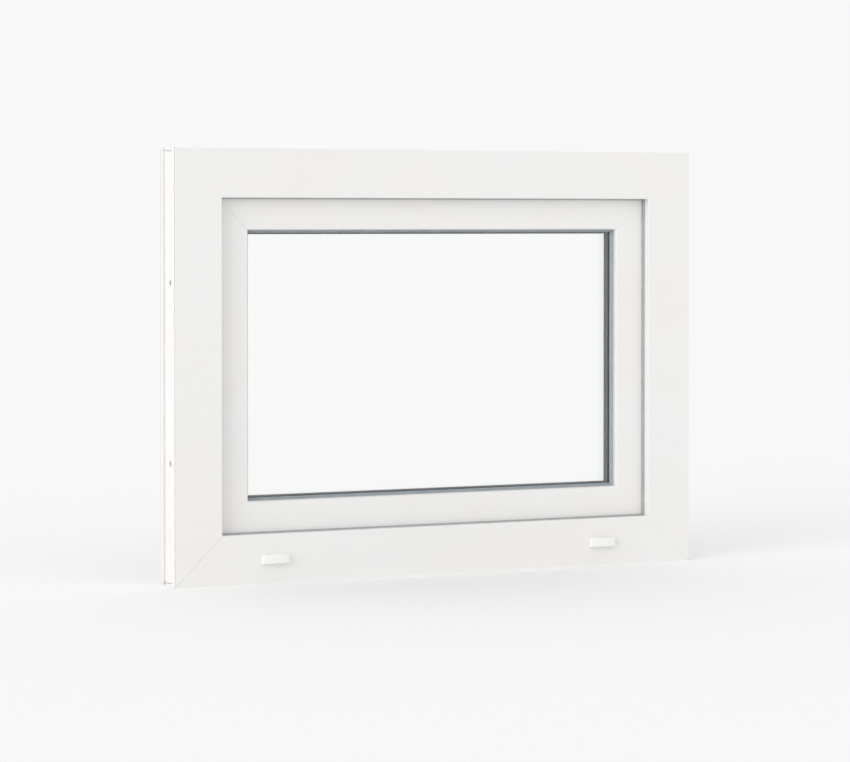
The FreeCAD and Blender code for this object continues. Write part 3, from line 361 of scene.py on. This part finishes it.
for side in ("left", "right"):
    low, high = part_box("drain_cap_" + side)
    high = Vector((high.x, FRAME_FACE, high.z))
    hood = bmesh.new()
    block(hood, low, high)
    bmesh.ops.bevel(
        hood,
        geom=[e for e in hood.edges if any(v.co.y < low.y + 0.001 for v in e.verts)],
        offset=HOOD_ROUNDING,
        offset_type="OFFSET",
        segments=3,
        profile=0.5,
        affect="EDGES",
        material=-1,
    )
    hood.normal_update()
    under = [f for f in hood.faces if f.normal.z < -0.99]
    bmesh.ops.inset_region(hood, faces=under, thickness=HOOD_WALL, use_even_offset=True)
    inner = bmesh.ops.extrude_discrete_faces(hood, faces=under)["faces"]
    bmesh.ops.translate(hood, verts=inner[0].verts, vec=(0, 0, HOOD_HOLLOW))
    middle = (low + high) / 2
    tongue_low = Vector((middle.x - TONGUE.x / 2, low.y + HOOD_WALL, middle.z - TONGUE.z / 2))
    block(hood, tongue_low, tongue_low + TONGUE)
    piece("drain_hood_" + side, hood, moulded_white, "frame", "cap_plastic", "drain_cap_" + side)


# ---- Keeps ----
# Two die-cast zinc strikers in the rebate of the left jamb, which the cams pull against.
# Each is held by two plated steel screws with a cross recess.
casting = metal("zinc_casting", (0.70, 0.70, 0.71), (0.60, 0.60, 0.61), 0.42, 300)
give(casting, "keep_lower", "keep_upper")
screw_steel = metal("screw_steel", (0.74, 0.73, 0.70), (0.62, 0.61, 0.58), 0.32, 400)


def carved(form, cutter):
    """One closed form with another cut out of it."""
    blanks = []
    for part in (form, cutter):
        bmesh.ops.recalc_face_normals(part, faces=part.faces)
        mesh = bpy.data.meshes.new("blank")
        part.to_mesh(mesh)
        part.free()
        blanks.append(bpy.data.objects.new("blank", mesh))
        bpy.context.scene.collection.objects.link(blanks[-1])
    cut = blanks[0].modifiers.new("cut", "BOOLEAN")
    cut.operation = "DIFFERENCE"
    cut.solver = "EXACT"
    cut.object = blanks[1]
    bpy.context.view_layer.update()
    result = bmesh.new()
    result.from_object(blanks[0], bpy.context.evaluated_depsgraph_get())
    for blank in blanks:
        bpy.data.objects.remove(blank)
    return result


ARRIS = 0.0004


def soften(width, *names):
    """Rounds the arrises of carried-over parts."""
    for name in names:
        bevel = nodes[name].modifiers.new("soft", "BEVEL")
        bevel.width = width
        bevel.segments = 2
        bevel.limit_method = "ANGLE"
        bevel.angle_limit = math.radians(50)


soften(ARRIS, "keep_lower", "keep_upper")


def solids_of(name):
    """The box of each separate solid in a carried-over part, lowest first."""
    form = bmesh.new()
    form.from_mesh(nodes[name].data)
    bmesh.ops.remove_doubles(form, verts=form.verts, dist=SAME_POINT)
    left, boxes = set(form.verts), []
    while left:
        reach, low, high = [left.pop()], Vector((9, 9, 9)), Vector((-9, -9, -9))
        while reach:
            vert = reach.pop()
            low, high = Vector(map(min, low, vert.co)), Vector(map(max, high, vert.co))
            for edge in vert.link_edges:
                other = edge.other_vert(vert)
                if other in left:
                    left.remove(other)
                    reach.append(other)
        boxes.append((low, high))
    form.free()
    return sorted(boxes, key=lambda box: tuple(box[0]))


def screw(radius, length):
    """A countersunk screw with a cross recess, pointing down from a head at the origin."""
    form = bmesh.new()
    shank, sunk, tip = radius * 0.55, radius * 0.56, radius * 0.5
    profile = [
        (0, 0),
        (radius * 0.96, 0),
        (radius, -radius * 0.05),
        (shank, -sunk),
        (shank, tip - length),
        (0, -length),
    ]
    verts = [form.verts.new((across, 0, down)) for across, down in profile]
    edges = [form.edges.new(pair) for pair in zip(verts, verts[1:])]
    bmesh.ops.spin(
        form,
        geom=verts + edges,
        cent=(0, 0, 0),
        axis=(0, 0, 1),
        angle=math.tau,
        steps=24,
        use_merge=True,
    )
    bmesh.ops.remove_doubles(form, verts=form.verts, dist=SAME_POINT)
    arm, web, deep = radius * 0.58, radius * 0.15, radius * 0.5
    for across, along in ((arm, web), (web, arm)):
        recess = bmesh.new()
        block(recess, Vector((-across, -along, -deep)), Vector((across, along, deep)))
        for vert in recess.verts:
            if vert.co.z < 0:
                vert.co.x *= 0.45
                vert.co.y *= 0.45
        form = carved(form, recess)
    return form


def screws(name, facing, body):
    """Cross-headed screws in the places of the plain ones; facing is where the heads look."""
    out = Vector(facing)
    form = bmesh.new()
    for low, high in solids_of(name):
        middle = (low + high) / 2
        reach = [abs(out[i]) * (high - low)[i] for i in range(3)]
        radius = max((high - low)[i] for i in range(3) if not out[i]) / 2
        one = screw(radius, sum(reach))
        turn = out.to_track_quat("Z", "Y").to_matrix().to_4x4()
        bmesh.ops.transform(
            one, matrix=Matrix.Translation(middle + out * sum(reach) / 2) @ turn, verts=one.verts
        )
        mesh = bpy.data.meshes.new("blank")
        one.to_mesh(mesh)
        one.free()
        form.from_mesh(mesh)
        bpy.data.meshes.remove(mesh)
    piece(name.replace("_screws", "_cross_screws"), form, screw_steel, body, "screw_steel", name)


screws("keep_screws", (1, 0, 0), "frame")


# ---- Hinges ----
# Two butt hinges of powder-coated steel on the room side: leaves, a ground pin, nylon
# bushes and push-on caps.
enamel, tree, shader = mottled("white_enamel", 0.38, 30, (0.84, 0.84, 0.83), (0.82, 0.82, 0.80))
shader.inputs["Coat Weight"].default_value = 0.3
shader.inputs["Coat Roughness"].default_value = 0.15
relief(tree, shader, noise(tree, 700, 2), 0.00003)
for leaf in ("frame_leaf_lower", "frame_leaf_upper", "sash_leaf_lower", "sash_leaf_upper"):
    give(enamel, "hinge_" + leaf)
    soften(ARRIS, "hinge_" + leaf)
ground_steel = metal("ground_steel", (0.78, 0.78, 0.78), (0.68, 0.68, 0.69), 0.22, 200, (1, 1, 30))
give(ground_steel, "hinge_pin_lower", "hinge_pin_upper")
nylon, tree, shader = mottled("nylon", 0.45, 120, (0.80, 0.80, 0.76), (0.76, 0.76, 0.72))
relief(tree, shader, noise(tree, 1500, 2), 0.00001)
give(nylon, "hinge_bushes")
give(moulded_white, "hinge_caps")
screws("hinge_frame_screws", (0, 1, 0), "frame")
screws("hinge_sash_screws", (0, 1, 0), "sash")


# ---- Sash ----
# Four lengths of the same plastic in a slimmer profile, mitred and welded like the frame's.
# Its overlap on the room side carries a rubber seal, and each length holds a steel tube.
sash_level = window_plastic("sash_plastic_level", LEVEL, 0.15, 0.8)
sash_upright = window_plastic("sash_plastic_upright", UPRIGHT, 0.15, 0.8)
give(sash_level, "sash_bottom_rail", "sash_top_rail")
give(sash_upright, "sash_hinge_stile", "sash_lock_stile")
give(galvanised, "sash_reinforcement")
give(seal_rubber, "sash_seal")


# ---- Glazing ----
# A sealed unit of two float-glass panes on a dark warm-edge spacer, set on packers and held
# by clipped-in beads, with a grey gasket on each side.
glass, tree, shader = new_material("clear_glass", 0.0)
shader.inputs["Base Color"].default_value = (0.997, 1.0, 0.999, 1)
shader.inputs["Transmission Weight"].default_value = 1.0
shader.inputs["IOR"].default_value = 1.52
give(glass, "glass_outer", "glass_inner")

gasket = rubber("glazing_gasket", (0.335, 0.375, 0.405), (0.385, 0.425, 0.455), 0.5)
give(gasket, "glazing_gasket_outer", "glazing_gasket_inner")

spacer, tree, shader = mottled("spacer_bar", 0.45, 80, (0.15, 0.185, 0.195), (0.175, 0.21, 0.22))
SPACER_TALL = 0.008
SPACER_CORNER = 0.0009
BUTYL = 0.00012


def ring(form, section, low, high):
    """A mitred ring round the glass; each point is how far in from the box, and how deep."""
    loops = []
    for inward, deep in section:
        left, right = low.x + inward, high.x - inward
        bottom, top = low.z + inward, high.z - inward
        corners = ((left, bottom), (right, bottom), (right, top), (left, top))
        loops.append([form.verts.new((across, deep, up)) for across, up in corners])
    for loop, following in zip(loops, loops[1:] + loops[:1]):
        for i in range(4):
            form.faces.new((loop[i - 1], loop[i], following[i], following[i - 1]))


low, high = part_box("glass_spacer")
front, back = low.y + BUTYL, high.y - BUTYL
bar = bmesh.new()
ring(
    bar,
    [
        (0, front + SPACER_CORNER),
        (SPACER_CORNER, front),
        (SPACER_TALL - SPACER_CORNER, front),
        (SPACER_TALL, front + SPACER_CORNER),
        (SPACER_TALL, (front + back) / 2 - SPACER_CORNER / 2),
        (SPACER_TALL - SPACER_CORNER / 2, (front + back) / 2),
        (SPACER_TALL, (front + back) / 2 + SPACER_CORNER / 2),
        (SPACER_TALL, back - SPACER_CORNER),
        (SPACER_TALL - SPACER_CORNER, back),
        (SPACER_CORNER, back),
        (0, back - SPACER_CORNER),
    ],
    low,
    high,
)
piece("spacer_frame", bar, spacer, "sash", "spacer_bar", "glass_spacer")
sealant = rubber("edge_sealant", (0.05, 0.05, 0.052), (0.08, 0.08, 0.082), 0.5)
give(sealant, "glass_edge_seal")

packer, tree, shader = mottled("packer_plastic", 0.4, 90, (0.16, 0.28, 0.45), (0.13, 0.24, 0.40))
give(packer, "setting_blocks")
give(sash_level, "glazing_bead_bottom", "glazing_bead_top")
give(sash_upright, "glazing_bead_left", "glazing_bead_right")


# ---- Lock ----
# A plated steel faceplate on the edge of the lock stile, with the gearbox, pinion, rack rod
# and cams behind it.
plated = metal("plated_steel", (0.72, 0.73, 0.74), (0.60, 0.61, 0.62), 0.34, 60, (1, 1, 0.2))
give(plated, "lock_faceplate", "drive_rod", "gearbox_case")
give(casting, "cam_lower", "cam_upper")
sintered = metal("sintered_steel", (0.42, 0.42, 0.43), (0.32, 0.32, 0.33), 0.5, 900)
give(sintered, "gearbox_pinion")
screws("faceplate_screws", (-1, 0, 0), "sash")


# ---- Handle ----
# A powder-coated lever on a square spindle. Its cast base is screwed to the stile, and a
# moulded plate turns aside to show the screws.
give(moulded_white, "handle_cover_plate")
give(casting, "handle_base")
give(ground_steel, "handle_spindle")
soften(ARRIS, "handle_cover_plate", "handle_base")
screws("handle_screws", (0, 1, 0), "sash")

lever_low, lever_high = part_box("handle_lever")
AXIS_X = (lever_low.x + lever_high.x) / 2
AXIS_Z = HALF_HEIGHT
NECK = 0.009
BEND = 0.013
GRIP_DEPTH = 0.0066
GRIP_OUT = lever_high.y - GRIP_DEPTH
TIP = lever_low.z
lever = bmesh.new()
sections = []


def section(out, up, tilt, across, thick):
    """An oval section of the lever; the tilt is 90 on the neck and 0 on the grip."""
    place = (
        Matrix.Translation((AXIS_X, out, up))
        @ Matrix.Rotation(math.radians(tilt), 4, "X")
        @ Matrix.Diagonal((across, thick, 1, 1))
    )
    circle = bmesh.ops.create_circle(lever, segments=16, radius=1, matrix=place)["verts"]
    sections.append([e for e in lever.edges if e.verts[0] in circle and e.verts[1] in circle])


for out, width in ((0, 1), (0.0012, 1), (0.006, 0.97), (0.014, 0.93), (0.021, 0.94)):
    section(lever_low.y + out, AXIS_Z, 90, NECK * width, NECK * width)
for turn in (20, 45, 70):
    swing = math.radians(turn)
    out = GRIP_OUT - BEND + BEND * math.sin(swing)
    up = AXIS_Z - BEND + BEND * math.cos(swing)
    thick = NECK + (GRIP_DEPTH - NECK) * turn / 90
    section(out, up, 90 - turn, 0.0090 + 0.0008 * turn / 90, thick)
for down, across, thick in (
    (0.020, 0.0098, 1),
    (0.045, 0.0098, 0.96),
    (0.075, 0.0095, 0.90),
    (0.100, 0.0091, 0.84),
    (0.119, 0.0085, 0.76),
    (0.1255, 0.0072, 0.60),
):
    section(GRIP_OUT, AXIS_Z - down, 0, across, GRIP_DEPTH * thick)
section(GRIP_OUT, TIP, 0, 0.0050, GRIP_DEPTH * 0.4)
for first, second in zip(sections, sections[1:]):
    bmesh.ops.bridge_loops(lever, edges=first + second)
bmesh.ops.holes_fill(lever, edges=lever.edges, sides=0)
handle = piece("handle_grip", lever, enamel, "handle", "white_enamel", "handle_lever")
smooth = handle.modifiers.new("smooth", "SUBSURF")
smooth.levels = smooth.render_levels = 2


# ---- Floor and light ----
# A pale studio floor that runs out of sight, an even dome of light, and one broad soft lamp
# from the upper left.
floor_form = bmesh.new()
bmesh.ops.create_grid(floor_form, x_segments=1, y_segments=1, size=120)
floor_mesh = bpy.data.meshes.new("floor")
floor_form.to_mesh(floor_mesh)
floor_form.free()
floor = bpy.data.objects.new("floor", floor_mesh)
bpy.context.scene.collection.objects.link(floor)
floor_paint, tree, shader = new_material("floor_paint", 0.9)
shader.inputs["Specular IOR Level"].default_value = 0.0
shader.inputs["Base Color"].default_value = (0.965, 0.965, 0.965, 1)
floor_mesh.materials.append(floor_paint)

world = bpy.data.worlds.new("dome")
bpy.context.scene.world = world
world.use_nodes = True
tree = world.node_tree
dome = tree.nodes["Background"]
dome.inputs["Color"].default_value = (1, 1, 1, 1)
dome.inputs["Strength"].default_value = 0.88
seen = tree.nodes.new("ShaderNodeBackground")
seen.inputs["Color"].default_value = (1, 1, 1, 1)
seen.inputs["Strength"].default_value = 0.939
ray = tree.nodes.new("ShaderNodeLightPath")
either = tree.nodes.new("ShaderNodeMixShader")
tree.links.new(ray.outputs["Is Camera Ray"], either.inputs["Fac"])
tree.links.new(dome.outputs["Background"], either.inputs[1])
tree.links.new(seen.outputs["Background"], either.inputs[2])
tree.links.new(either.outputs["Shader"], tree.nodes["World Output"].inputs["Surface"])

TOWARDS_LAMP = Vector((-0.88, -0.38, 0.28))
lamp_data = bpy.data.lights.new("key", "SUN")
lamp_data.energy = 1.05
lamp_data.angle = math.radians(45)
lamp = bpy.data.objects.new("key", lamp_data)
lamp.rotation_euler = TOWARDS_LAMP.to_track_quat("Z", "Y").to_euler()
bpy.context.scene.collection.objects.link(lamp)
bpy.context.scene.view_settings.view_transform = "Standard"
